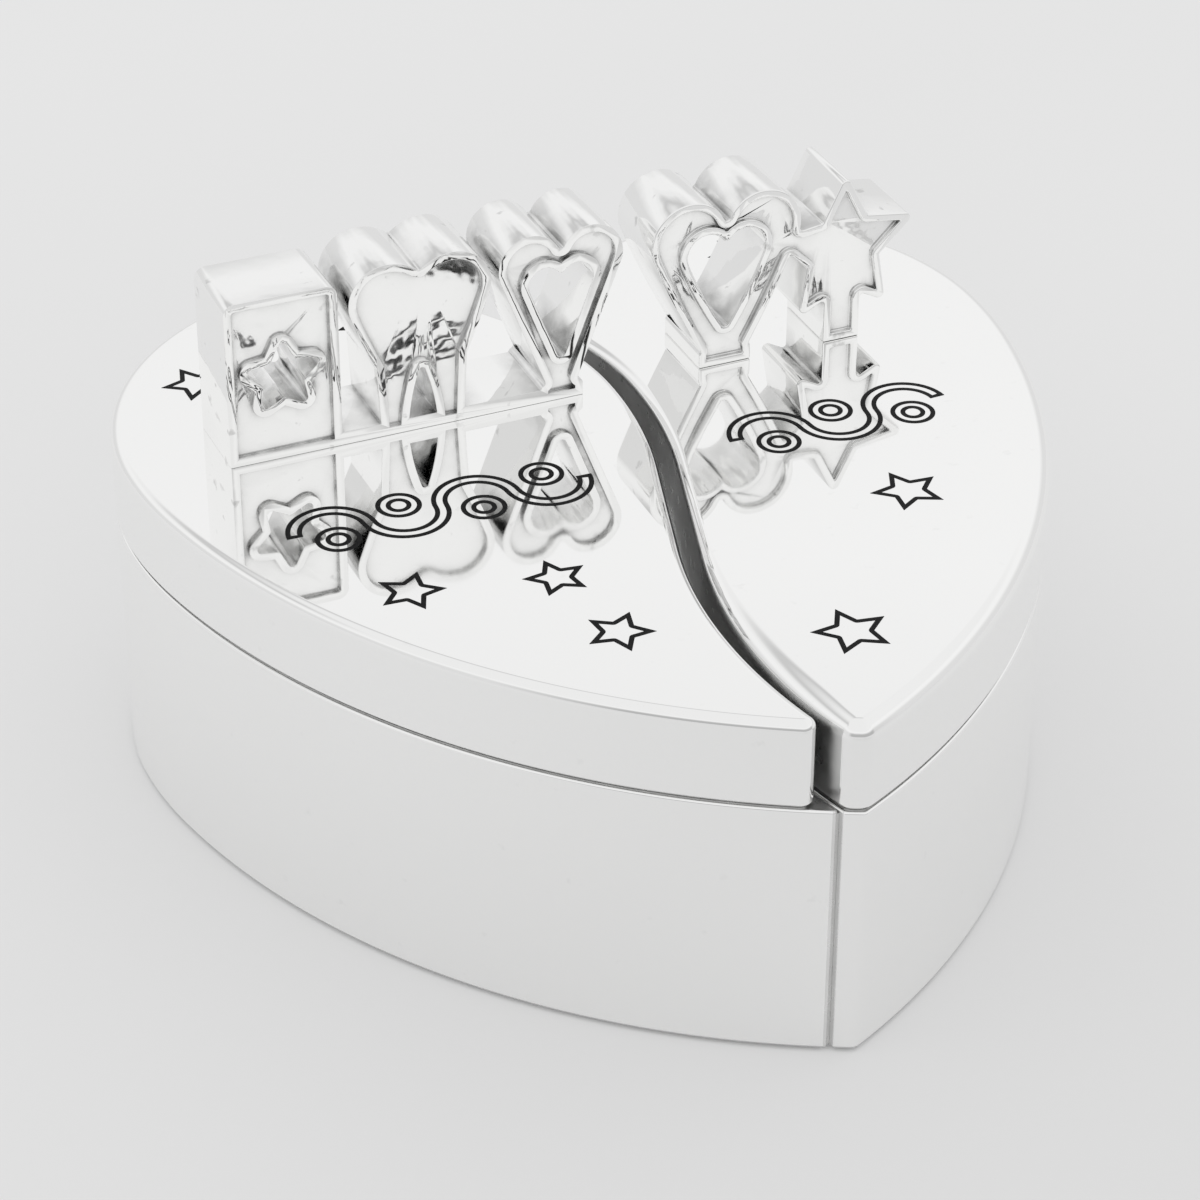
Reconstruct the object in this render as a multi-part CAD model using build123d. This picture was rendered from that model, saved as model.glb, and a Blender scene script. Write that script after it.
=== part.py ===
from build123d import *
import os
from math import cos, pi, sin

# Baby keepsake pair: a heart split by an S into two lidded boxes, for teeth and for a curl of hair.
# Millimetres. Origin: the middle of the base. +Z is up, the heart's point looks along -Y, and the
# tooth box is on the -X side.

# Sides
TOOTH = -1
CURL = 1

# Heart, seen from above
heart_width = 79.2
heart_length = 81.2
# Points of half the outline: shares of half the width and of the length from the point
widest_share = 0.707
flank_shares = (0.981, 0.61)
shoulder_shares = (0.669, 0.984)
crown_shares = (0.497, 0.998)
cusp_share = 0.856

# S split: a leaning straight middle, a bend at each end, and a tighter bend home to the cusp.
# Turns are in degrees, shares are of the heart's length
split_lean = 16.7
split_front_turn = 39
split_low_share = 0.0702
split_high_share = 0.0862
split_radius_share = 0.5973
split_middle_share = 0.4225
body_split_gap = 0.36
lid_split_gap = 1.5
lid_bend_delay = {TOOTH: 0.0, CURL: 1.3}
overrun = 12.0

# Heights
base_pad_proud = 0.3
body_height = 22.85
seam = 0.3
lid_height = 7.55

# Cast boxes
wall = 1.5
floor = 1.6
base_recess = 0.7
base_land = 2.0
body_corners = {TOOTH: 0.5, CURL: 1.0}
inner_corner = 0.5
body_rim_round = 0.25
body_base_round = 0.35

# Cast lids
lid_plate = 1.5
lid_corners = {TOOTH: 1.0, CURL: 1.4}
lid_edge_rounds = {TOOTH: 0.9, CURL: 1.3}
lid_rim_round = 0.3
lip = 1.0
lip_drop = 2.4
lip_clearance = 0.3

# Linings and pads
lining = 1.0
lining_gap = 0.2
lining_step = 0.4
floor_pad = 1.5
lid_pad = 1.2
base_pad_gap = 0.2

# Standing ornaments; places and widths are shares of half the heart's width or of half its length
ornament_height = 15.9
ornament_depth = 7.3
ornament_front_share = 0.3325
tooth_row_share = -0.793
curl_row_share = 0.1667
ornament_round = 0.5
notch_round = 0.3
window_round = 0.4
bead_width = 0.7
bead_depth = 0.45
motif_gap = 1.1
star_overlap = 2.4
rail_height = 1.2
foot_cut = 0.8

block_width_share = 0.247
block_height = 15.0
block_corner = 1.0
block_star_share = 0.75

wand_star_share = 0.182
wand_stem = 3.4
star_waist_share = 0.5

# Tooth: shares of half its width and of the ornament's height
molar_width_share = 0.306
molar_root = 2.3
molar_cusp_shares = (0.48, 1)
molar_dip_share = 0.93
molar_belly_shares = (1, 0.72)
molar_neck_shares = (0.66, 0.4)
molar_root_share = 0.6
molar_crotch_share = 0.4

# Hearts: shares of half their width, with drops below the top, and of the ornament's height
slim_heart_share = 0.272
broad_heart_share = 0.338
heart_point_share = -0.14
heart_foot_share = 0.36
heart_foot_height = 1.6
heart_top_share = 0.5
heart_notch_drop_share = 0.47
heart_widest_drop_share = 0.74
heart_window_share = 0.52
heart_window_middle_share = 0.58

# Screws that hold the ornaments from inside the lids
screw_shank = 1.5
screw_head = 3.4
screw_head_height = 0.8
screw_grip = 2.2
screw_clearance = 0.1
screw_pocket = 0.5

# Enamelled line decoration in the lids
line_width = 0.42
line_depth = 0.3
band_stroke = 1.35
band_wave = 12.5
band_swing = 3.0
band_ring = 1.9
band_ring_inner = 1.05
band_ring_drop = 1.5
line_star_radius = 2.9
# Start, end and height of each wave: shares of half the heart's width and of half its length
tooth_band_shares = (-0.833, -0.061, 0.03)
curl_band_shares = (0.192, 0.722, 0.03)
# Small stars: place in the same shares, size as a share of the plain one, and turn in degrees
tooth_star_shares = (
    (-0.621, -0.239, 1, 40),
    (-0.336, -0.305, 0.95, 0),
    (-0.301, -0.527, 1, 32),
    (-0.747, 0.695, 1.03, 10),
    (-0.313, 0.803, 1, 25),
)
curl_star_shares = (
    (0.116, -0.7, 1.14, -2),
    (0.457, -0.283, 1.09, 3),
    (0.583, 0.783, 1, 15),
    (0.773, 0.635, 1, 40),
)

level_tolerance = 0.005
upright = 90

half_width = heart_width / 2
half_length = heart_length / 2
split_low = heart_length * split_low_share
split_high = heart_length * split_high_share
split_radius = heart_length * split_radius_share
tip_y = -half_length
base_z = base_pad_proud
rim_z = base_z + body_height
floor_z = base_z + base_recess + floor
lid_z = rim_z + seam
lid_top = lid_z + lid_height
plate_z = lid_top - lid_plate
lip_z = rim_z - lip_drop
lip_outset = wall + lip_clearance
lid_inset = lip_outset + lip
ornament_front = half_length * ornament_front_share
tooth_row_start = half_width * tooth_row_share
curl_row_start = half_width * curl_row_share
block_width = half_width * block_width_share
molar_width = half_width * molar_width_share
slim_heart_width = half_width * slim_heart_share
broad_heart_width = half_width * broad_heart_share
wand_star_radius = half_width * wand_star_share


def heart_arcs(side):
    """Half the heart's outline, as tangent arcs from its widest point to the tip and to the cusp."""
    def at(shares):
        return (side * half_width * shares[0], tip_y + heart_length * shares[1])

    widest = at((1, widest_share))
    flank = TangentArc(widest, at(flank_shares), tangent=(0, -1))
    front = TangentArc(at(flank_shares), at((0, 0)), tangent=flank % 1)
    shoulder = TangentArc(widest, at(shoulder_shares), tangent=(0, 1))
    crown = TangentArc(at(shoulder_shares), at(crown_shares), tangent=shoulder % 1)
    inner = TangentArc(at(crown_shares), at((0, cusp_share)), tangent=crown % 1)
    return [flank, front, shoulder, crown, inner]


def split_edges(shift, delay=0.0):
    """A curve parallel to the S, shifted towards +X: from in front of the tip, and on past the cusp.

    Its front bend can start further forward than the S does, which closes the gap towards the tip.
    """
    along = Vector(sin(split_lean * pi / 180), cos(split_lean * pi / 180))
    across = Vector(along.Y, -along.X)
    centre = Vector(0, tip_y + heart_length * split_middle_share)
    low = centre - along * (split_low + delay)
    high = centre + along * split_high
    cusp = (0, tip_y + heart_length * cusp_share)
    true_back = JernArc(high, along, split_radius, split_lean)
    true_home = TangentArc(true_back @ 1, cusp, tangent=true_back % 1)
    home_turn = true_home.length / true_home.radius * 180 / pi
    middle = Line(low + across * shift, high + across * shift)
    front = JernArc(middle @ 0, -along, split_radius - shift, split_front_turn)
    back = JernArc(middle @ 1, along, split_radius + shift, split_lean)
    home = JernArc(back @ 1, back % 1, true_home.radius + shift, home_turn)
    behind = Line(home @ 1, home @ 1 + (home % 1) * heart_length)
    return [front, middle, back, home, behind]


def half_plan(side, gap, amount=0.0, corner=0.0, delay=0.0):
    """One box's share of the heart, drawn in all round by an amount, with its corners rounded."""
    heart = make_face(heart_arcs(TOOTH) + heart_arcs(CURL))
    edges = split_edges(side * gap / 2, delay)
    front_end = edges[0] @ 1
    back_end = edges[-1] @ 1
    reach = Vector(side * heart_width)
    around = Polyline(front_end, front_end + reach, back_end + reach, back_end)
    plan = heart & make_face(edges + around.edges())
    if amount or corner:
        plan = inset(plan, amount + corner)
    return offset(plan, amount=corner, kind=Kind.ARC) if corner else plan


def inset(plan, amount):
    return offset(plan, amount=-amount, kind=Kind.ARC)


def softened(plan, outward, inward):
    """A flat face with its outward and inward corners rounded."""
    opened = offset(inset(plan, outward), amount=outward, kind=Kind.ARC)
    return inset(offset(opened, amount=inward, kind=Kind.ARC), inward)


def slab(plan, low, high):
    return extrude(Pos(0, 0, low) * plan, amount=high - low)


def edges_at(solid, height):
    """The longest closed run of edges at one height: the outer one."""
    level = [wire for face in solid.faces().filter_by(Axis.Z) for wire in face.wires()
             if abs(wire.center().Z - height) < level_tolerance]
    return max(level, key=lambda wire: wire.length).edges()


def box_body(side):
    """Cast shell with a floor, recessed below for its felt."""
    shell = slab(half_plan(side, body_split_gap, corner=body_corners[side]), base_z, rim_z)
    shell = fillet(edges_at(shell, rim_z), body_rim_round)
    shell = fillet(edges_at(shell, base_z), body_base_round)
    cavity = slab(half_plan(side, body_split_gap, wall, inner_corner), floor_z, rim_z + overrun)
    felt = half_plan(side, body_split_gap, base_land, inner_corner)
    return shell - cavity - slab(felt, base_z - overrun, base_z + base_recess)


def base_pad(side):
    """Felt in the recess, a little proud of the casting."""
    plan = half_plan(side, body_split_gap, base_land + base_pad_gap, inner_corner)
    return slab(plan, 0, base_z + base_recess)


def wall_lining(side):
    """Velour sleeve inside the wall, ending below the lid's lip."""
    outer = half_plan(side, body_split_gap, wall + lining_gap, inner_corner)
    inner = half_plan(side, body_split_gap, wall + lining_gap + lining, inner_corner)
    return slab(outer - inner, floor_z, lip_z - lining_step)


def floor_cushion(side):
    """Velour pad on the floor, inside the sleeve."""
    plan = half_plan(side, body_split_gap, wall + lining_gap + lining + lining_gap, inner_corner)
    return slab(plan, floor_z, floor_z + floor_pad)


def screw_places(side):
    """Where the screws go up through a lid: under the outer motifs of its ornament."""
    depth = ornament_front + ornament_depth / 2
    if side == TOOTH:
        return [(block_middle(), depth), (row_heart_middle(), depth)]
    return [(curl_heart_middle(), depth), (wand_middle(), depth)]


def lid(side, decoration):
    """Cast cap: a plate, a wall as thick as seam step and lip together, and the lip inside the box."""
    plan = half_plan(side, lid_split_gap, corner=lid_corners[side], delay=lid_bend_delay[side])
    cap = slab(plan, lid_z, lid_top)
    cap = fillet(edges_at(cap, lid_top), lid_edge_rounds[side])
    cap = fillet(edges_at(cap, lid_z), lid_rim_round)
    cap += slab(half_plan(side, body_split_gap, lip_outset, inner_corner), lip_z, plate_z)
    cap -= slab(half_plan(side, body_split_gap, lid_inset, inner_corner), lip_z - overrun, plate_z)
    for place in screw_places(side):
        cap -= Pos(*place, lid_top) * Cylinder(screw_shank / 2 + screw_clearance, 2 * overrun)
    return cap - decoration


def lid_lining(side):
    """Pad under the plate, with a pocket round each screw head."""
    plan = half_plan(side, body_split_gap, lid_inset + lining_gap, inner_corner)
    pad = slab(plan, plate_z - lid_pad, plate_z)
    for place in screw_places(side):
        pad -= Pos(*place, plate_z) * Cylinder(screw_head / 2 + screw_pocket, 2 * overrun)
    return pad


def lid_screws(side):
    """Pan-headed screws, heads below the plate and shanks up into the ornament."""
    screws = []
    length = lid_plate + screw_grip
    for place in screw_places(side):
        head = Pos(*place, plate_z - screw_head_height / 2) * Cylinder(screw_head / 2, screw_head_height)
        head = fillet(head.edges().sort_by(Axis.Z)[0], screw_head_height / 2)
        shank = Pos(*place, plate_z + length / 2) * Cylinder(screw_shank / 2, length)
        screws.append((head + shank).solid())
    return Compound(children=screws)


def star_points(radius, turn=upright):
    points = []
    for step in range(10):
        reach = radius if step % 2 == 0 else radius * star_waist_share
        angle = turn * pi / 180 + step * pi / 5
        points.append((reach * cos(angle), reach * sin(angle)))
    return points


def star_face(radius, turn=upright):
    return make_face(Polyline(*star_points(radius, turn), close=True))


def block_middle():
    return tooth_row_start + block_width / 2


def molar_middle():
    return tooth_row_start + block_width + motif_gap + molar_width / 2


def row_heart_middle():
    return molar_middle() + (molar_width + slim_heart_width) / 2 + motif_gap


def curl_heart_middle():
    return curl_row_start + broad_heart_width / 2


def wand_middle():
    return curl_row_start + broad_heart_width - star_overlap + wand_star_radius * sin(2 * pi / 5)


def motif_point(width, shares):
    """A point given as shares of half a motif's width and of the ornaments' height."""
    return Vector(width / 2 * shares[0], ornament_height * shares[1])


def mirrored_face(right):
    return make_face(right + [edge.mirror(Plane.YZ) for edge in right])


def molar_face():
    """Tooth seen from the side: a crown with two cusps over two roots."""
    cusp = motif_point(molar_width, molar_cusp_shares)
    belly = motif_point(molar_width, molar_belly_shares)
    neck = motif_point(molar_width, molar_neck_shares)
    root = Vector(molar_width / 2 * molar_root_share, -foot_cut)
    inner_root = root - Vector(molar_root, 0)
    dip = TangentArc(cusp, motif_point(molar_width, (0, molar_dip_share)), tangent=(-1, 0))
    cheek = TangentArc(cusp, belly, tangent=(1, 0))
    flank = TangentArc(belly, neck, tangent=cheek % 1)
    shank = Line(neck, root)
    sole = Line(root, inner_root)
    arch = TangentArc(inner_root, motif_point(molar_width, (0, molar_crotch_share)), tangent=(0, 1))
    return mirrored_face([dip, cheek, flank, shank, sole, arch])


def heart_face(width):
    """Upright heart, its point below the lid's top."""
    half = width / 2
    top = Vector(half * heart_top_share, ornament_height)
    outer = Vector(half, ornament_height - half * heart_widest_drop_share)
    notch = Vector(0, ornament_height - half * heart_notch_drop_share)
    inner = TangentArc(top, notch, tangent=(-1, 0))
    lobe = TangentArc(top, outer, tangent=(1, 0))
    flank = TangentArc(outer, motif_point(width, (0, heart_point_share)), tangent=lobe % 1)
    return mirrored_face([inner, lobe, flank])


def heart_window(width):
    """A smaller heart inside the heart."""
    lift = ornament_height * heart_window_middle_share * (1 - heart_window_share)
    return Pos(0, lift) * scale(heart_face(width), heart_window_share)


def heart_foot(width):
    return Rectangle(width * heart_foot_share, 2 * heart_foot_height)


def above_lid(face):
    """What of an ornament's face is above the lid."""
    room = Rectangle(2 * heart_width, 2 * ornament_height, align=(Align.CENTER, Align.MIN))
    return face & room


def cast_ornament(side, motifs, rail, windows):
    """Cast piece with a bead round each motif's sunken front, drilled below for its screws."""
    cast = [softened(motif, ornament_round, notch_round) for motif in motifs]
    outer = above_lid(Sketch() + cast + rail)
    holes = Sketch() + [softened(window, window_round, window_round) for window in windows]
    front = Plane(origin=(0, ornament_front, lid_top), x_dir=(1, 0, 0), z_dir=(0, -1, 0))
    piece = extrude(front * (outer - holes), amount=-ornament_depth)
    sunk = Sketch()
    for motif in cast:
        sunk += inset(above_lid(motif), bead_width)
    for window in holes.faces():
        sunk -= offset(window, amount=bead_width, kind=Kind.ARC)
    piece -= extrude(front * sunk, amount=-bead_depth)
    for place in screw_places(side):
        bore = Cylinder(screw_shank / 2 + screw_clearance, 2 * (screw_grip + screw_clearance))
        piece -= Pos(*place, lid_top) * bore
    return piece


def tooth_ornament():
    """Toy block with a star-shaped window, tooth and heart in a row on a low rail."""
    cube = RectangleRounded(block_width, 2 * block_height, block_corner)
    block = Pos(block_middle(), 0) * cube
    star = Pos(block_middle(), block_height / 2) * star_face(block_width / 2 * block_star_share)
    molar = Pos(molar_middle(), 0) * molar_face()
    middle = Pos(row_heart_middle(), 0)
    heart = middle * heart_face(slim_heart_width)
    foot = middle * heart_foot(slim_heart_width)
    window = middle * heart_window(slim_heart_width)
    span = row_heart_middle() - block_middle()
    rail = Pos(block_middle() + span / 2, 0) * Rectangle(span, 2 * rail_height)
    return cast_ornament(TOOTH, [block, molar, heart + foot], [rail], [star, window])


def curl_ornament():
    """Heart and a star on a stem, joined where they meet."""
    middle = Pos(curl_heart_middle(), 0)
    heart = middle * heart_face(broad_heart_width)
    foot = middle * heart_foot(broad_heart_width)
    window = middle * heart_window(broad_heart_width)
    star_height = ornament_height - wand_star_radius
    star = Pos(wand_middle(), star_height) * star_face(wand_star_radius)
    stem = Pos(wand_middle(), 0) * Rectangle(wand_stem, 2 * star_height)
    return cast_ornament(CURL, [heart + foot + star + stem], [], [window])


def line_star(share_x, share_y, size, turn):
    """Star drawn as one line of even width."""
    outer = star_face(line_star_radius * size, upright + turn)
    return Pos(half_width * share_x, half_length * share_y) * (outer - inset(outer, line_width))


def line_band(start_share, end_share, height_share):
    """Running wave drawn in double line, with a double ring in each of its bends."""
    start = half_width * start_share
    end = half_width * end_share
    span = band_wave / 2
    bends = int((end - start) // span)
    first = (start + end - bends * span) / 2
    arcs = []
    rings = []
    for bend in range(bends):
        way = (-1) ** bend
        begin = Vector(first + bend * span, half_length * height_share)
        middle = begin + Vector(span / 2, 0)
        arcs.append(ThreePointArc(begin, middle + Vector(0, way * band_swing), begin + Vector(span, 0)))
        ring = Pos(middle - Vector(0, way * band_ring_drop))
        for radius in (band_ring, band_ring_inner):
            rings.append(ring * (Circle(radius) - Circle(radius - line_width)))
    end_cut = line_width / arcs[0].length
    inner = [arcs[0].trim(end_cut, 1)] + arcs[1:-1] + [arcs[-1].trim(0, 1 - end_cut)]
    wave = trace(arcs, band_stroke) - trace(inner, band_stroke - 2 * line_width)
    return Sketch() + [wave] + rings


def build():
    os.makedirs("parts", exist_ok=True)
    parts = {}
    for side, name in ((TOOTH, "tooth"), (CURL, "curl")):
        parts[name + "_box_body"] = box_body(side)
        parts[name + "_box_base_pad"] = base_pad(side)
        parts[name + "_box_wall_lining"] = wall_lining(side)
        parts[name + "_box_floor_pad"] = floor_cushion(side)
        stars = tooth_star_shares if side == TOOTH else curl_star_shares
        band = tooth_band_shares if side == TOOTH else curl_band_shares
        drawing = line_band(*band) + [line_star(*star) for star in stars]
        enamel = extrude(Pos(0, 0, lid_top) * drawing, amount=-line_depth)
        parts[name + "_lid"] = lid(side, enamel)
        parts[name + "_lid_enamel"] = enamel
        parts[name + "_lid_lining"] = lid_lining(side)
        parts[name + "_lid_screws"] = lid_screws(side)
    parts["tooth_lid_ornament"] = tooth_ornament()
    parts["curl_lid_ornament"] = curl_ornament()
    for name, piece in parts.items():
        export_step(piece, "parts/" + name + ".step")


build()
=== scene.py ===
import bmesh
import bpy
import math
import numpy as np
from mathutils import Matrix, Vector, geometry


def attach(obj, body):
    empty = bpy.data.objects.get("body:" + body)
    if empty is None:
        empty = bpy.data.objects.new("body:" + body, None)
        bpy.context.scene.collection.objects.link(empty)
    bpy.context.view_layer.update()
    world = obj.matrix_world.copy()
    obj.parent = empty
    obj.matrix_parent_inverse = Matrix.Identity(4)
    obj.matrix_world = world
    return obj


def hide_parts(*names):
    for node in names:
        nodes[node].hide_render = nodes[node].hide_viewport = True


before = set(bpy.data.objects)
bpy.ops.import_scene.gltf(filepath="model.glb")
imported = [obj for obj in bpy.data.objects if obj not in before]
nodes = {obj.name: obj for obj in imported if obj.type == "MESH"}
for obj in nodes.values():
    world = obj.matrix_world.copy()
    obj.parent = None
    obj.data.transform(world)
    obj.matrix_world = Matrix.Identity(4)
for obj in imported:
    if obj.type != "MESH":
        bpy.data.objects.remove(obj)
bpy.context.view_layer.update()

MM = 0.001
TOOTH = -1
CURL = 1

# The source's own sizes, in millimetres: the heart, the S that splits it, and the boxes
heart_width = 79.2
heart_length = 81.2
tip_y = -heart_length / 2
widest_share = 0.707
flank_shares = (0.981, 0.61)
shoulder_shares = (0.669, 0.984)
crown_shares = (0.497, 0.998)
cusp_share = 0.856
split_lean = math.radians(16.7)
split_front_turn = math.radians(39)
split_low = 5.7
split_high = 7.0
split_radius = 48.5
split_middle_share = 0.4225
body_gap = 0.36
lid_gap = 1.5
lid_bend_delay = {TOOTH: 0.0, CURL: 1.3}
base_z = 0.3
rim_z = 23.15
floor_z = 2.6
lid_z = 23.45
lid_top = 31.0
plate_z = 29.5
lip_z = 20.75
wall = 1.5
base_recess = 0.7
base_land = 2.0
lip_outset = 1.8
lid_inset = 2.8
inner_corner = 0.5
lid_corners = {TOOTH: 1.0, CURL: 1.4}

# Only here: finer than the solids, and no further out than their front and back
front_limit = -40.4975
back_limit = 40.6058
seen_body_gap = 0.03
body_corners = {TOOTH: 0.35, CURL: 0.4}
bead_width = 0.27
bead_share = 0.95
rim_round = 0.25
base_round = 0.35
lid_rounds = {TOOTH: 0.9, CURL: 1.35}
swell_from = 0.85
swell_rise = 1.05
swell_start_y = -8
swell_length = 24
swell_end = 4
enamel_rise = 0.015
seam_depth = 0.46
seam_floor = 0.03
casting_round = 0.3

# Velour
sleeve_inset = 1.7
sleeve_round = 0.5
sleeve_top = 20.35
sleeve_corner = 0.6
pad_corner_ease = 0.3
pad_edge_turn = 75
pad_edge_steps = 5
crown_reach = 5
crown_grid = 1.3
nap_wave = 0.04
nap_turns = (0.9, 0.7)
nap_phase = 1

# How finely the outlines are drawn
arc_step = 0.5
fan_step = math.radians(7)
straight_count = 20
beyond_count = 30
beyond_length = 15


# Outlines
def direction(angle):
    return np.array((math.cos(angle), math.sin(angle)))


def tangent_arc(start, tangent, end):
    """Centre, radius, first angle and sweep of the arc from start, along tangent, to end."""
    start = np.array(start, float)
    end = np.array(end, float)
    tangent = np.array(tangent, float) / np.linalg.norm(tangent)
    left = np.array((-tangent[1], tangent[0]))
    chord = end - start
    radius = chord @ chord / (2 * chord @ left)
    centre = start + left * radius
    first = math.atan2(*(start - centre)[::-1])
    last = math.atan2(*(end - centre)[::-1])
    way = 1 if radius > 0 else -1
    sweep = ((last - first) * way) % (2 * math.pi) * way
    return centre, abs(radius), first, sweep


def end_tangent(arc):
    centre, radius, first, sweep = arc
    way = 1 if sweep > 0 else -1
    return direction(first + sweep + way * math.pi / 2)


def arc_points(arc, grow):
    """Points on an arc whose radius is grown, and their directions from its centre."""
    centre, radius, first, sweep = arc
    count = max(3, int(radius * abs(sweep) / arc_step))
    angles = first + sweep * np.linspace(0, 1, count + 1)
    outward = np.stack((np.cos(angles), np.sin(angles)), 1)
    return centre + (radius + grow) * outward, outward


def lobe_arcs():
    def at(shares):
        return (heart_width / 2 * shares[0], tip_y + heart_length * shares[1])

    widest = at((1, widest_share))
    flank = tangent_arc(widest, (0, -1), at(flank_shares))
    front = tangent_arc(at(flank_shares), end_tangent(flank), at((0, 0)))
    shoulder = tangent_arc(widest, (0, 1), at(shoulder_shares))
    crown = tangent_arc(at(shoulder_shares), end_tangent(shoulder), at(crown_shares))
    inner = tangent_arc(at(crown_shares), end_tangent(crown), at((0, cusp_share)))
    return flank, front, shoulder, crown, inner


def joined(pieces):
    points = [pieces[0][0]]
    normals = [pieces[0][1]]
    for piece_points, piece_normals in pieces[1:]:
        points.append(piece_points[1:])
        normals.append(piece_normals[1:])
    return np.concatenate(points), np.concatenate(normals)


def flipped(piece):
    return piece[0][::-1], piece[1][::-1]


def mirrored(piece):
    return piece[0] * (-1, 1), piece[1] * (-1, 1)


def right_lobe(inset):
    """The right half of the heart's outline from its tip to its cusp, drawn in by inset."""
    flank, front, shoulder, crown, inner = lobe_arcs()
    pieces = [flipped(arc_points(front, -inset)), flipped(arc_points(flank, -inset))]
    pieces += [arc_points(arc, -inset) for arc in (shoulder, crown, inner)]
    points, normals = joined(pieces)
    first = np.nonzero(points[:, 0] > 0)[0][0]
    if first > 0:
        share = points[first, 0] / (points[first, 0] - points[first - 1, 0])
        tip = points[first] + (points[first - 1] - points[first]) * share
        points = np.concatenate(([tip], points[first:]))
        normals = np.concatenate(([normals[first]], normals[first:]))
    return points, normals


def split_line(shift, delay):
    """The S shifted towards +X, from front to back, with its directions to the right."""
    along = np.array((math.sin(split_lean), math.cos(split_lean)))
    across = np.array((along[1], -along[0]))
    centre = np.array((0, tip_y + heart_length * split_middle_share))
    low = centre - along * (split_low + delay)
    high = centre + along * split_high
    turn = math.atan2(across[1], across[0])

    front_first = turn + math.pi + split_front_turn
    front = (low + across * split_radius, split_radius, front_first, -split_front_turn)
    points, outward = arc_points(front, -shift)
    pieces = [(points, -outward)]

    shares = np.linspace(0, 1, straight_count)[:, None]
    straight = low + shares * (high - low) + across * shift
    pieces.append((straight, np.tile(across, (straight_count, 1))))

    back_centre = high - across * split_radius
    back = (back_centre, split_radius, turn, split_lean)
    back_end = back_centre + split_radius * direction(turn + split_lean)
    home = tangent_arc(back_end, end_tangent(back), (0, tip_y + heart_length * cusp_share))
    home_points, home_normals = arc_points(home, shift)
    pieces += [arc_points(back, shift), (home_points, home_normals)]

    shares = np.linspace(0, 1, beyond_count)[:, None]
    beyond = home_points[-1] + shares * end_tangent(home) * beyond_length
    pieces.append((beyond, np.tile(home_normals[-1], (beyond_count, 1))))
    return joined(pieces)


def crossings(one, two):
    """Where two lines of points cross: (place along the first, place along the second)."""
    smallest = 1e-12
    a, b = one[:-1, None], one[1:, None]
    c, d = two[None, :-1], two[None, 1:]
    r, s = b - a, d - c
    det = r[..., 0] * s[..., 1] - r[..., 1] * s[..., 0]
    det = np.where(np.abs(det) < smallest, smallest, det)
    w = c - a
    t = (w[..., 0] * s[..., 1] - w[..., 1] * s[..., 0]) / det
    u = (w[..., 0] * r[..., 1] - w[..., 1] * r[..., 0]) / det
    found = np.argwhere((t >= 0) & (t < 1) & (u >= 0) & (u < 1))
    return [(i + t[i, j], j + u[i, j]) for i, j in found]


def part_of(piece, start, end):
    """The stretch of a line between two places along it."""
    def at(array, place):
        index = min(int(place), len(array) - 2)
        return array[index] + (array[index + 1] - array[index]) * (place - index)

    inside = np.arange(int(start) + 1, math.ceil(end))
    points, normals = (
        np.concatenate(([at(array, start)], array[inside], [at(array, end)])) for array in piece
    )
    return points, normals / np.linalg.norm(normals, axis=1)[:, None]


class Plan:
    """One box's outline, counter-clockwise: points drawn in by a depth, and outward directions.

    A corner is one point with a fan of directions, which rounds it when the outline is drawn out.
    """

    def __init__(self, side, gap, inset, corner, delay=0.0):
        self.depth = inset + corner
        edges = self.edges(side, gap, delay)
        front_edge = len(edges) - 1 if side == TOOTH else 0
        points = []
        normals = []
        self.along_split = []
        self.slit_shaded = []
        for index, (edge_points, edge_normals) in enumerate(edges):
            at_front = index == front_edge
            points.extend(edge_points)
            normals.extend(edge_normals)
            self.along_split.extend([index == 0] * len(edge_points))
            self.slit_shaded.extend([False] * (len(edge_points) - 1) + [at_front])
            following = edges[(index + 1) % len(edges)][1][0]
            begin = math.atan2(*edge_normals[-1][::-1])
            turn = (math.atan2(*following[::-1]) - begin) % (2 * math.pi)
            steps = max(1, int(turn / fan_step))
            for step in range(1, steps):
                points.append(edge_points[-1])
                normals.append(direction(begin + turn * step / steps))
                self.along_split.append(False)
                # Painted shade at the slit: all of the tooth box's front corner, a third of the
                # curl box's
                self.slit_shaded.append(at_front and (side == TOOTH or step < steps / 3))
        self.points = np.array(points)
        self.normals = np.array(normals)

    def edges(self, side, gap, delay):
        """The stretches of the S and of the heart round one box, the S first."""
        right = right_lobe(self.depth)
        left = mirrored(right)
        split = split_line(side * (gap / 2 + self.depth), delay)
        on_left = crossings(split[0], left[0])
        on_right = crossings(split[0], right[0])
        if side == TOOTH:
            front, back = min(on_left), max(on_left)
            heart = flipped(part_of(left, front[1], back[1]))
            return [part_of(split, front[0], back[0]), heart]
        front, back = min(on_left + on_right), max(on_right)
        points, normals = part_of(split, front[0], back[0])
        edges = [flipped((points, -normals))]
        if front in on_left:
            edges.append(flipped(part_of(left, 0, front[1])))
            edges.append(part_of(right, 0, back[1]))
        else:
            edges.append(part_of(right, front[1], back[1]))
        return edges

    def ring(self, inset):
        """The outline drawn in by inset, and kept inside the solids' front and back."""
        points = self.points + np.reshape(self.depth - inset, (-1, 1)) * self.normals
        points[:, 1] = np.clip(points[:, 1], front_limit, back_limit)
        return points


# Meshes with their true normals
# Finishes: plated silver; dull silver, also painted shade at the box's foot; silver darkened as
# painted shade along the slit
PLATE = 0
DULL_AND_SHADED = 1
SLIT_SHADE = 2


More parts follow.
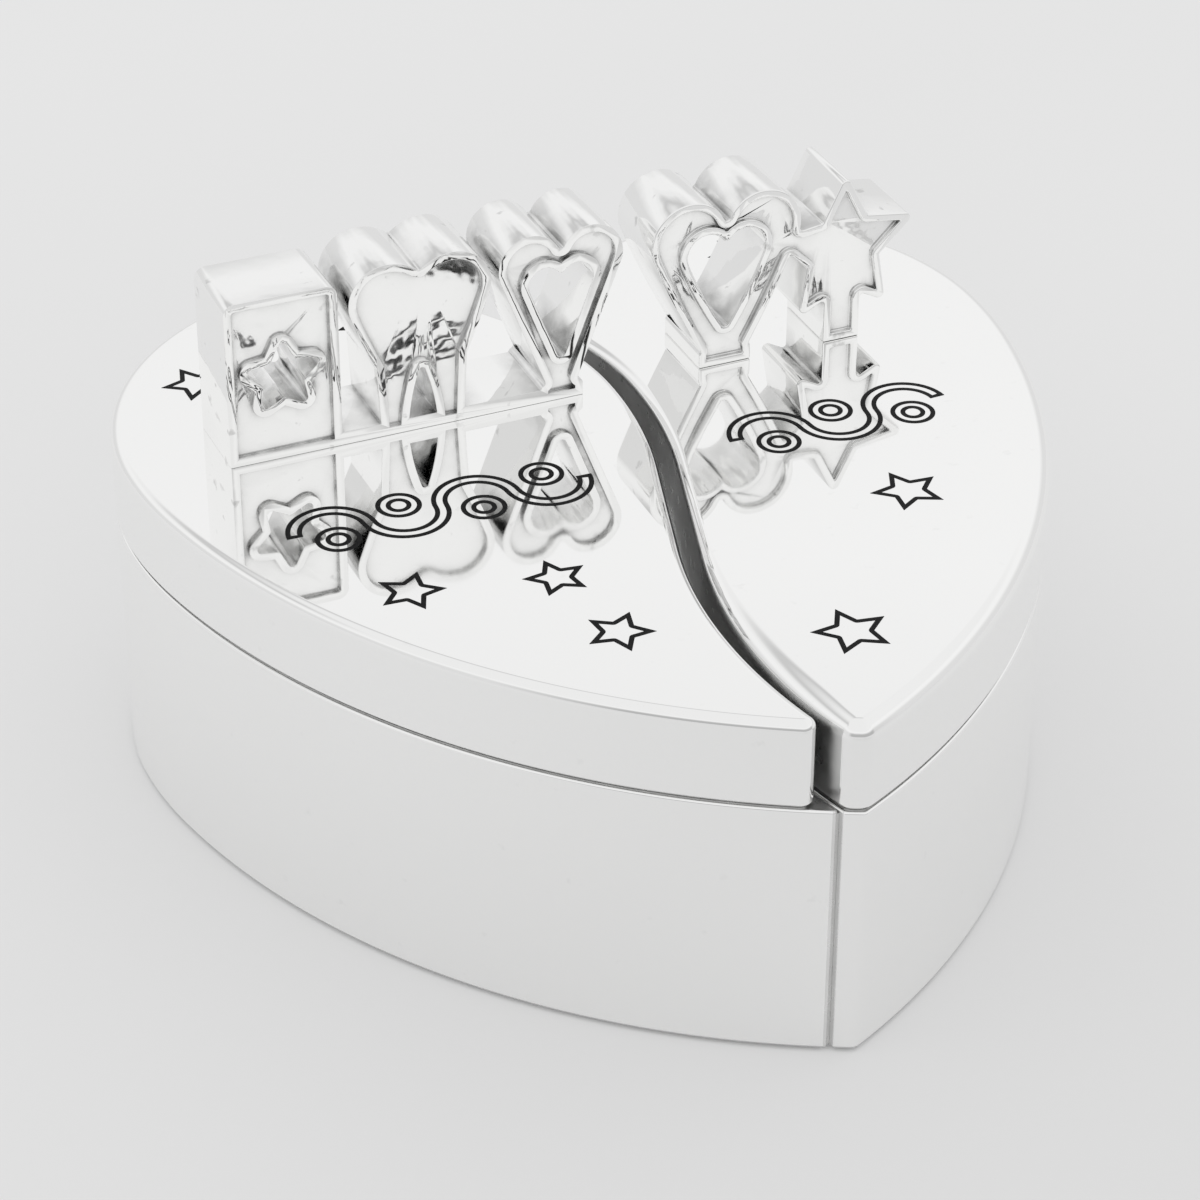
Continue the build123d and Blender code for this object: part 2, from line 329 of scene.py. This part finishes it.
class Shell:
    def __init__(self):
        self.verts = []
        self.normals = []
        self.faces = []
        self.finishes = []

    def add(self, points, z, normals):
        first = len(self.verts)
        heights = np.broadcast_to(z, len(points))
        self.verts.extend((float(p[0]), float(p[1]), float(h)) for p, h in zip(points, heights))
        self.normals.extend(tuple(map(float, n)) for n in normals)
        return first

    def loft(self, plan, profile, inward=False, finish=PLATE, joints=False):
        """Rings in order: each is (height, inset, outward share, upward share of its normal)."""
        steep_below = 0.45
        way = -1 if inward else 1
        count = len(plan.points)
        rows = []
        for z, inset, out, up in profile:
            upward = np.full((count, 1), float(up))
            normals = np.concatenate((plan.normals * out * way, upward), 1)
            rows.append(self.add(plan.ring(inset), z, normals))
        for row, (low, high) in enumerate(zip(rows, rows[1:])):
            steep = profile[row][3] < steep_below
            for i in range(count):
                j = (i + 1) % count
                face = (low + i, low + j, high + j, high + i)
                self.faces.append(face[::-1] if inward else face)
                if steep and not inward and plan.along_split[i] and plan.along_split[j]:
                    self.finishes.append(DULL_AND_SHADED)
                elif joints and plan.slit_shaded[i]:
                    self.finishes.append(SLIT_SHADE)
                else:
                    self.finishes.append(finish)

    def level_face(self, corners, way, finish):
        """A face turned to look up or down, whichever way its corners run."""
        a, b, c = (np.array(self.verts[k][:2]) for k in corners[:3])
        turn = (b - a)[0] * (c - a)[1] - (b - a)[1] * (c - a)[0]
        self.faces.append(tuple(corners if turn * way > 0 else corners[::-1]))
        self.finishes.append(finish)

    def flat(self, loops, z, up=True, finish=PLATE):
        """A flat face between loops: the outer one and any holes."""
        way = 1.0 if up else -1.0
        firsts = [self.add(loop, z, [(0, 0, way)] * len(loop)) for loop in loops]
        index = [first + k for first, loop in zip(firsts, loops) for k in range(len(loop))]
        flat = [[Vector((p[0], p[1], 0)) for p in loop] for loop in loops]
        for triangle in geometry.tessellate_polygon(flat):
            self.level_face([index[k] for k in triangle], way, finish)

    def slit_shade_sheet(self, plan, beside):
        """A thin upright sheet across the groove between two plans' front corners, in the silver
        darkened as painted shade: it stands in for the shade in the slit.

        It stands where the groove is bead_width wide.
        """
        across = plan.normals[0]
        outline = np.concatenate((beside.ring(0), beside.ring(0)[:1]))
        for root in plan.ring(0)[plan.slit_shaded]:
            width = min(crossings(np.array((root, root + across)), outline))[0]
            if width < bead_width:
                break
        ends = [root, root + across * width * bead_share]
        forward = [(across[1], -across[0], 0)] * 2
        low = self.add(ends, base_z + base_round, forward)
        high = self.add(ends, rim_z - rim_round, forward)
        self.faces.append((low, low + 1, high + 1, high))
        self.finishes.append(SLIT_SHADE)

    def crowned(self, loop, z, rise, up=True):
        """A softly rising face inside a loop, as on a pad."""
        clear_share = 0.6
        merge_distance = 1e-5
        loop = np.array(loop)

        def edge_distance(places):
            return np.sqrt(((places[:, None] - loop[None]) ** 2).sum(2)).min(1)

        low, high = loop.min(0), loop.max(0)
        xs = np.arange(low[0], high[0], crown_grid)
        ys = np.arange(low[1], high[1], crown_grid)
        places = np.array([(x, y) for x in xs for y in ys])
        places = places[edge_distance(places) > crown_grid * clear_share]
        points = [Vector(p) for p in loop] + [Vector(p) for p in places]
        edges = [(i, (i + 1) % len(loop)) for i in range(len(loop))]
        out = geometry.delaunay_2d_cdt(points, edges, [], 1, merge_distance)
        verts = np.array([tuple(v) for v in out[0]])
        way = 1.0 if up else -1.0
        share = np.clip(edge_distance(verts) / crown_reach, 0, 1)
        waves = np.sin(verts[:, 0] * nap_turns[0])
        waves *= np.sin(verts[:, 1] * nap_turns[1] + nap_phase)
        heights = z + way * rise * (1 - (1 - share) ** 2)
        heights = heights + way * nap_wave * share * waves
        first = self.add(verts, heights, [(0, 0, way)] * len(verts))
        for face in out[2]:
            self.level_face([first + k for k in face], way, PLATE)

    def build(self, name, true_normals=True):
        mesh = bpy.data.meshes.new(name)
        mesh.from_pydata([(x * MM, y * MM, z * MM) for x, y, z in self.verts], [], self.faces)
        mesh.polygons.foreach_set("material_index", self.finishes)
        mesh.shade_smooth()
        if true_normals:
            lengths = [math.sqrt(sum(c * c for c in n)) for n in self.normals]
            units = [tuple(c / k for c in n) for n, k in zip(self.normals, lengths)]
            mesh.normals_split_custom_set_from_vertices(units)
        obj = bpy.data.objects.new(name, mesh)
        bpy.context.scene.collection.objects.link(obj)
        return obj


def rounded(z, inset, radius, start, end, steps=6):
    """Profile rows of a rounded edge about a height and an inset, between two angles from level."""
    rows = []
    for step in range(steps + 1):
        angle = math.radians(start + (end - start) * step / steps)
        out, up = math.cos(angle), math.sin(angle)
        rows.append((z + radius * up, inset - radius * out, out, up))
    return rows


# Materials
class Graph:
    """A node tree; each method adds nodes and gives back the socket of their result."""

    def __init__(self, tree):
        self.tree = tree

    def feed(self, socket, value):
        """Joins a socket to another one, or sets its number or colour."""
        if isinstance(value, bpy.types.NodeSocket):
            self.tree.links.new(value, socket)
        elif socket.type == "RGBA":
            socket.default_value = (*value, 1)
        else:
            socket.default_value = value

    def node(self, kind, **inputs):
        """A node whose inputs are named with _ for each space."""
        node = self.tree.nodes.new(kind)
        for name, value in inputs.items():
            self.feed(node.inputs[name.replace("_", " ")], value)
        return node

    def noise(self, scale, detail=3.0, stretch=(1, 1, 1)):
        place = self.node("ShaderNodeTexCoord").outputs["Object"]
        place = self.node("ShaderNodeMapping", Vector=place, Scale=stretch).outputs["Vector"]
        texture = self.node("ShaderNodeTexNoise", Vector=place, Scale=scale, Detail=detail)
        return texture.outputs["Fac"]

    def ramp(self, value, across, onto):
        """A value's way from one end of across to the other, laid onto another pair of ends."""
        node = self.node(
            "ShaderNodeMapRange", Value=value,
            From_Min=across[0], From_Max=across[1], To_Min=onto[0], To_Max=onto[1],
        )
        return node.outputs["Result"]

    def maths(self, operation, *values):
        node = self.node("ShaderNodeMath")
        node.operation = operation
        for socket, value in zip(node.inputs, values):
            self.feed(socket, value)
        return node.outputs["Value"]

    def product(self, first, *others):
        for other in others:
            first = self.maths("MULTIPLY", first, other)
        return first

    def mixed(self, share, one, two):
        """One colour where share is 0, and the other where it is 1."""
        node = self.node("ShaderNodeMix")
        node.data_type = "RGBA"
        a, b = [socket for socket in node.inputs if socket.type == "RGBA"]
        self.feed(node.inputs["Factor"], share)
        self.feed(a, one)
        self.feed(b, two)
        return next(socket for socket in node.outputs if socket.type == "RGBA")

    def grey(self, level):
        node = self.node("ShaderNodeCombineColor", Red=level, Green=level, Blue=level)
        return node.outputs["Color"]

    def axes(self, coordinates):
        """The X, Y and Z of a place in the named coordinates."""
        place = self.node("ShaderNodeTexCoord").outputs[coordinates]
        parts = self.node("ShaderNodeSeparateXYZ", Vector=place)
        return [parts.outputs[axis] for axis in "XYZ"]

    def openness(self, reach, only_local=True):
        """From 0 in a deep corner to 1 in the open, as far as reach in millimetres."""
        node = self.node("ShaderNodeAmbientOcclusion", Distance=reach * MM)
        node.samples = 6
        node.only_local = only_local
        return node.outputs["AO"]

    def seen_rays(self):
        """1 for camera, glossy and transmission rays, 0 for the rays that light the scene."""
        path = self.node("ShaderNodeLightPath").outputs
        seen = self.maths("MAXIMUM", path["Is Camera Ray"], path["Is Glossy Ray"])
        return self.maths("MAXIMUM", seen, path["Is Transmission Ray"])


class Finish(Graph):
    """A material with one shader."""

    def __init__(self, name, base, metallic, roughness):
        self.material = bpy.data.materials.new(name)
        self.material.use_nodes = True
        super().__init__(self.material.node_tree)
        self.inputs = self.tree.nodes["Principled BSDF"].inputs
        self.feed(self.inputs["Base Color"], base)
        self.feed(self.inputs["Metallic"], metallic)
        self.feed(self.inputs["Roughness"], roughness)

    def colour(self, share, one, two):
        self.feed(self.inputs["Base Color"], self.mixed(share, one, two))

    def roughness(self, value, across, onto):
        self.feed(self.inputs["Roughness"], self.ramp(value, across, onto))

    def bump(self, value, strength, distance):
        """Unevenness as high as distance in millimetres."""
        node = self.node(
            "ShaderNodeBump", Strength=strength, Distance=distance * MM, Height=value
        )
        self.feed(self.inputs["Normal"], node.outputs["Normal"])


bright = (0.965, 0.965, 0.96)
middle = (0.3, 0.7)

silver = Finish("silver_plate", bright, 1.0, 0.03)
silver.roughness(silver.noise(90, 4), (0.4, 0.75), (0.015, 0.075))
clouds = silver.ramp(silver.noise(700, 2), (0.7, 0.8), (0, 1))
silver.colour(clouds, bright, (0.925, 0.925, 0.92))
silver.bump(silver.noise(60, 2), strength=0.02, distance=0.4)

cast = Finish("cast_silver", bright, 1.0, 0.05)
# Painted shade, partly tarnish: the casting darkens in its corners and its windows, by how shut in
# each place is; the specks are random marks
corners = cast.ramp(cast.openness(0.9), (0.4, 0.82), (1, 0))
tarnish_and_painted_shade = cast.product(corners, cast.ramp(cast.noise(500), (0.35, 0.6), (0.35, 1)))
specks = cast.ramp(cast.noise(620, 4), (0.66, 0.74), (0, 0.3))
windows = cast.ramp(cast.openness(2.4), (0.5, 0.96), (0.36, 0))
painted_window_shade = cast.product(windows, cast.ramp(cast.noise(420, 5), (0.35, 0.65), (0.35, 1.4)))
marks_and_painted_shade = cast.maths("MAXIMUM", cast.maths("MAXIMUM", tarnish_and_painted_shade, specks), painted_window_shade)
# Where painted shade and marks fall, the silver goes towards dark grey and gets rougher
cast.colour(marks_and_painted_shade, (0.955, 0.955, 0.95), (0.16, 0.16, 0.158))
cast.roughness(marks_and_painted_shade, (0, 1), (0.04, 0.35))
cast.bump(cast.noise(170), strength=0.25, distance=0.3)

dull_and_shaded = Finish("dull_and_shaded_silver", (0.75, 0.75, 0.745), 1.0, 0.3)
dull_and_shaded.roughness(dull_and_shaded.noise(800), middle, (0.26, 0.36))
dull_and_shaded.bump(dull_and_shaded.noise(900), strength=0.08, distance=0.2)

# Painted shade along the slit between the boxes: a darker silver with random tone on the faces
# beside it
slit_shade_silver = Finish("slit_shade_silver", (0.7, 0.7, 0.695), 1.0, 0.25)
slit_shade_silver.roughness(slit_shade_silver.noise(600), middle, (0.2, 0.32))
slit_shade_silver.colour(slit_shade_silver.noise(300), (0.72, 0.72, 0.715), (0.9, 0.9, 0.895))

enamel = Finish("black_enamel", (0.006, 0.006, 0.0065), 0.0, 0.5)
enamel.feed(enamel.inputs["Specular IOR Level"], 0.12)
enamel.colour(enamel.noise(1500), (0.002, 0.002, 0.0022), (0.008, 0.008, 0.0085))
enamel.bump(enamel.noise(2500, 2), strength=0.3, distance=0.1)

velour = Finish("velour", (0.6, 0.61, 0.64), 0.0, 0.95)
velour.feed(velour.inputs["Sheen Weight"], 0.4)
velour.colour(velour.noise(260, 4), (0.50, 0.51, 0.55), (0.68, 0.69, 0.71))
velour.bump(velour.noise(3500), strength=0.6, distance=0.2)

felt = Finish("felt", (0.03, 0.03, 0.033), 0.0, 1.0)
fibres = felt.noise(1200, 5, (1, 3, 1))
felt.colour(fibres, (0.018, 0.018, 0.02), (0.06, 0.06, 0.065))
felt.bump(felt.noise(2600, 4, (1, 2.5, 1)), strength=0.8, distance=0.3)

steel = Finish("screw_steel", (0.6, 0.6, 0.59), 1.0, 0.3)
steel.roughness(steel.noise(1500), middle, (0.22, 0.4))
steel.bump(steel.noise(1800), strength=0.2, distance=0.1)


def dress(obj, finish, body, slot, *replaced):
    if not replaced or finish is cast:
        obj.data.materials.clear()
    obj.data.materials.append(finish.material)
    if finish is silver:
        obj.data.materials.append(dull_and_shaded.material)
        obj.data.materials.append(slit_shade_silver.material)
    if replaced:
        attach(obj, body)
        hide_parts(*replaced)
    return obj


# Boxes
def box_shell(side, name):
    outer = Plan(side, seen_body_gap, 0, body_corners[side])
    recess = Plan(side, body_gap, base_land, inner_corner)
    cavity = Plan(side, body_gap, wall, inner_corner)
    recess_z = base_z + base_recess
    round_z = base_z + base_round
    shell = Shell()
    # The rounding at the foot is in the darker dull silver as painted shade, for the line where the
    # box meets the floor
    shell.loft(outer, rounded(round_z, base_round, base_round, -90, -10), finish=DULL_AND_SHADED)
    profile = rounded(round_z, base_round, base_round, -10, 0, 1)
    profile += rounded(rim_z - rim_round, rim_round, rim_round, 0, 90)
    # The front corner's faces at the slit take the silver darkened as painted shade
    shell.loft(outer, profile, joints=True)
    if side == TOOTH:
        # In the groove between the boxes' front corners, a sheet carrying the slit's painted shade
        shell.slit_shade_sheet(outer, Plan(CURL, seen_body_gap, 0, body_corners[CURL]))
    shell.flat([outer.ring(rim_round), cavity.ring(wall)], rim_z, finish=DULL_AND_SHADED)
    cavity_wall = [(floor_z, wall, 1, 0), (rim_z, wall, 1, 0)]
    shell.loft(cavity, cavity_wall, inward=True, finish=DULL_AND_SHADED)
    shell.flat([cavity.ring(wall)], floor_z, finish=DULL_AND_SHADED)
    shell.flat([outer.ring(base_round), recess.ring(base_land)], base_z, up=False)
    recess_wall = [(base_z, base_land, 1, 0), (recess_z, base_land, 1, 0)]
    shell.loft(recess, recess_wall, inward=True, finish=DULL_AND_SHADED)
    shell.flat([recess.ring(base_land)], recess_z, up=False, finish=DULL_AND_SHADED)
    return shell.build(name)


def smooth_step(value):
    share = np.clip(value, 0, 1)
    return share * share * (3 - 2 * share)


def lid_edge_round(side, plan):
    """The polished edge's radius at each point.

    On the curl lid it swells along the S towards the tip, and at the tip it is the lid's own again.
    """
    own = lid_rounds[side]
    if side == TOOTH:
        return np.full(len(plan.points), own)
    y = plan.points[:, 1]
    swollen = swell_from + swell_rise * smooth_step((swell_start_y - y) / swell_length)
    swollen = own + (swollen - own) * smooth_step((y - y.min()) / swell_end)
    radius = np.where(plan.along_split, swollen, own)
    count = 9
    around = np.concatenate((radius[-(count // 2):], radius, radius[:count // 2]))
    return np.convolve(around, np.full(count, 1 / count), "valid")


def lid_shell(side, name):
    outer = Plan(side, lid_gap, 0, lid_corners[side], lid_bend_delay[side])
    lip = Plan(side, body_gap, lip_outset, inner_corner)
    hollow = Plan(side, body_gap, lid_inset, inner_corner)
    edge_round = lid_edge_round(side, outer)
    top = lid_top - enamel_rise
    shoulder = rim_z + seam_floor
    shell = Shell()
    profile = rounded(lid_z + rim_round, rim_round, rim_round, -90, 0)
    profile += rounded(top - edge_round, edge_round, edge_round, 0, 90, steps=12)
    shell.loft(outer, profile)
    shell.flat([outer.ring(edge_round)], top)
    below = {"up": False, "finish": DULL_AND_SHADED}
    shell.flat([outer.ring(rim_round), outer.ring(seam_depth)], lid_z, **below)
    seam_wall = [(shoulder, seam_depth, 1, 0), (lid_z, seam_depth, 1, 0)]
    shell.loft(outer, seam_wall, finish=DULL_AND_SHADED)
    shell.flat([outer.ring(seam_depth), lip.ring(lip_outset)], shoulder, **below)
    lip_wall = [(lip_z, lip_outset, 1, 0), (shoulder, lip_outset, 1, 0)]
    shell.loft(lip, lip_wall, finish=DULL_AND_SHADED)
    shell.flat([lip.ring(lip_outset), hollow.ring(lid_inset)], lip_z, **below)
    hollow_wall = [(lip_z, lid_inset, 1, 0), (plate_z, lid_inset, 1, 0)]
    shell.loft(hollow, hollow_wall, inward=True, finish=DULL_AND_SHADED)
    shell.flat([hollow.ring(lid_inset)], plate_z, **below)
    return shell.build(name)


def pad(side, name, inset, low, high, edge, crown, up=True):
    """A pad whose soft side, above or below, is crowned and has a rounded edge."""
    plan = Plan(side, body_gap, inset, max(edge, inner_corner) + pad_corner_ease)
    turn, steps = pad_edge_turn, pad_edge_steps
    shell = Shell()
    if up:
        edge_rows = rounded(high - crown - edge, inset + edge, edge, 0, turn, steps)
        shell.loft(plan, [(low, inset, 1, 0)] + edge_rows)
        z, soft_inset = edge_rows[-1][:2]
        shell.crowned(plan.ring(soft_inset), z, high - z)
        shell.flat([plan.ring(inset)], low, up=False)
    else:
        edge_rows = rounded(low + crown + edge, inset + edge, edge, -turn, 0, steps)
        shell.loft(plan, edge_rows + [(high, inset, 1, 0)])
        z, soft_inset = edge_rows[0][:2]
        shell.crowned(plan.ring(soft_inset), z, z - low, up=False)
        shell.flat([plan.ring(inset)], high)
    return shell.build(name, true_normals=False)


def sleeve(side, name):
    """The lining of a cavity's wall, with a rounded top."""
    middle_inset = sleeve_inset + sleeve_round
    inner_inset = middle_inset + sleeve_round
    plan = Plan(side, body_gap, inner_inset, sleeve_corner)
    top = (sleeve_top - sleeve_round, middle_inset, sleeve_round)
    shell = Shell()
    shell.loft(plan, [(floor_z, sleeve_inset, 1, 0)] + rounded(*top, 0, 90))
    shell.loft(plan, rounded(*top, 90, 180) + [(floor_z, inner_inset, -1, 0)])
    return shell.build(name, true_normals=False)


def softened_casting(node, name):
    """A copy of a casting's solid with every edge rounded, as polished castings are."""
    mesh = nodes[node].data.copy()
    work = bmesh.new()
    work.from_mesh(mesh)
    bmesh.ops.remove_doubles(work, verts=work.verts, dist=1e-6)
    bmesh.ops.dissolve_limit(
        work, angle_limit=math.radians(1), verts=work.verts, edges=work.edges
    )
    work.to_mesh(mesh)
    work.free()
    obj = bpy.data.objects.new(name, mesh)
    bpy.context.scene.collection.objects.link(obj)
    mesh.shade_smooth()
    bevel = obj.modifiers.new("edges", "BEVEL")
    bevel.width = casting_round * MM
    bevel.segments = 4
    bevel.limit_method = "ANGLE"
    bevel.angle_limit = math.radians(40)
    bevel.harden_normals = True
    bevel.miter_outer = "MITER_ARC"
    return obj


for side, name in ((TOOTH, "tooth"), (CURL, "curl")):
    body = name + "_box"
    cover = name + "_cover"
    shell = box_shell(side, name + "_box_shell")
    dress(shell, silver, body, "silver", name + "_box_body")
    shell = lid_shell(side, name + "_lid_shell")
    dress(shell, silver, cover, "silver", name + "_lid")
    casting = softened_casting(name + "_lid_ornament", name + "_ornament_cast")
    dress(casting, cast, cover, "ornament", name + "_lid_ornament")

    cushion_name = name + "_floor_cushion"
    floor_cushion = pad(side, cushion_name, 2.9, low=floor_z, high=4.1, edge=0.6, crown=0.35)
    dress(floor_cushion, velour, body, "velour", name + "_box_floor_pad")
    ceiling = pad(
        side, name + "_lid_cushion", 3.0,
        low=plate_z - 1.2, high=plate_z, edge=0.5, crown=0.25, up=False,
    )
    dress(ceiling, velour, cover, "velour", name + "_lid_lining")
    lining = sleeve(side, name + "_wall_sleeve")
    dress(lining, velour, body, "velour", name + "_box_wall_lining")
    foot = pad(
        side, name + "_base_felt", 2.2,
        low=0.05, high=base_z + base_recess, edge=0.2, crown=0.02, up=False,
    )
    dress(foot, felt, body, "felt", name + "_box_base_pad")

    dress(nodes[name + "_lid_enamel"], enamel, cover, "enamel")
    dress(nodes[name + "_lid_screws"], steel, cover, "screw")


# Floor, light and camera, in metres
def stage_floor():
    """Paper with painted light, lighter towards the back and to the sides, and with a painted
    shadow line under the boxes.
    """
    reach = 3
    corners = [(-reach, -reach, 0), (reach, -reach, 0), (reach, reach, 0), (-reach, reach, 0)]
    mesh = bpy.data.meshes.new("floor")
    mesh.from_pydata(corners, [], [(0, 1, 2, 3)])
    obj = bpy.data.objects.new("floor", mesh)
    bpy.context.scene.collection.objects.link(obj)
    made = bpy.data.materials.new("floor_paper")
    made.use_nodes = True
    made.node_tree.nodes.clear()
    graph = Graph(made.node_tree)
    x, y, z = graph.axes("Object")
    # Painted light: lighter towards the back, and to the sides in front of the boxes
    back = graph.maths("POWER", graph.ramp(y, (-0.12, 0.16), (0, 1)), 0.6)
    painted_side_light = graph.ramp(graph.maths("ABSOLUTE", x), (0.03, 0.1), (0, 0.028))
    painted_side_light = graph.product(painted_side_light, graph.ramp(y, (0.02, 0.12), (1, 0)))
    colour = graph.grey(graph.maths("ADD", graph.ramp(back, (0, 1), (0.717, 0.81)), painted_side_light))
    paper = graph.node("ShaderNodeBsdfDiffuse", Color=colour)
    glow = graph.node("ShaderNodeEmission", Color=colour)
    # Painted shadow: the glow gives way to the shaded paper where the boxes shut it in, a dark line
    # under them
    glow_share_cut_by_contact_shade = graph.ramp(graph.openness(0.6, only_local=False), (0.25, 0.65), (0, 0.5))
    both = graph.node("ShaderNodeMixShader")
    graph.feed(both.inputs[0], graph.product(glow_share_cut_by_contact_shade, graph.seen_rays()))
    graph.feed(both.inputs[1], paper.outputs["BSDF"])
    graph.feed(both.inputs[2], glow.outputs["Emission"])
    graph.node("ShaderNodeOutputMaterial", Surface=both.outputs["Shader"])
    obj.data.materials.append(made)


def tent():
    """Even white light, in which reflections see darker places.

    They are the horizon, its front more so, a fold at the back left, the left side and the top.
    """
    world = bpy.data.worlds.new("tent")
    bpy.context.scene.world = world
    world.use_nodes = True
    graph = Graph(world.node_tree)
    x, y, z = graph.axes("Generated")
    horizon = graph.ramp(z, (0.25, 0.42), (0.82, 1.0))
    side = graph.ramp(x, (0.22, 0.42), (0.985, 1.0))
    upper = graph.ramp(z, (0.53, 0.58), (1.0, 0.955))
    front = graph.ramp(y, (-0.6, -0.3), (1, 0))
    skirt = graph.product(front, graph.ramp(z, (0.25, 0.45), (0.36, 0)))
    shade = graph.product(side, upper, graph.maths("SUBTRACT", 1.0, skirt))
    rising = graph.ramp(z, (0.6, 0.68), (0, 1))
    falling = graph.ramp(z, (0.7, 0.79), (1, 0))
    west = graph.ramp(x, (0.33, 0.45), (1, 0))
    north = graph.ramp(y, (0.2, 0.4), (0, 1))
    fold = graph.product(graph.maths("MINIMUM", rising, falling), graph.product(west, north))
    fold = graph.maths("SUBTRACT", 1.0, graph.product(fold, 0.3))
    level = graph.product(horizon, shade, fold, 0.915)
    glossy = graph.node("ShaderNodeLightPath").outputs["Is Glossy Ray"]
    colour = graph.mixed(glossy, (0.95, 0.95, 0.95), graph.grey(level))
    graph.feed(graph.tree.nodes["Background"].inputs["Color"], colour)


def photo_camera():
    """The camera fitted to the outline in the photo."""
    azimuth = -0.41
    elevation = 0.572
    roll = 0.002
    distance = 0.3302
    target = Vector((0.00026, 0.01033, 0.012))
    focal_pixels = 3796.2
    photo_pixels = 1200
    level_share = math.cos(elevation)
    away = Vector((
        math.sin(azimuth) * level_share, -math.cos(azimuth) * level_share, math.sin(elevation)
    ))
    right = (-away).cross(Vector((0, 0, 1))).normalized()
    up = right.cross(-away)
    turned_right = right * math.cos(roll) + up * math.sin(roll)
    turned_up = up * math.cos(roll) - right * math.sin(roll)
    axes = Matrix((turned_right, turned_up, away)).transposed()
    camera = bpy.data.objects.new("camera", bpy.data.cameras.new("camera"))
    camera.matrix_world = Matrix.Translation(target + away * distance) @ axes.to_4x4()
    camera.data.sensor_width = 36
    camera.data.lens = focal_pixels * camera.data.sensor_width / photo_pixels
    camera.data.clip_start = 0.01
    bpy.context.scene.collection.objects.link(camera)
    bpy.context.scene.camera = camera


stage_floor()
tent()
photo_camera()
bpy.context.scene.view_settings.view_transform = "Standard"
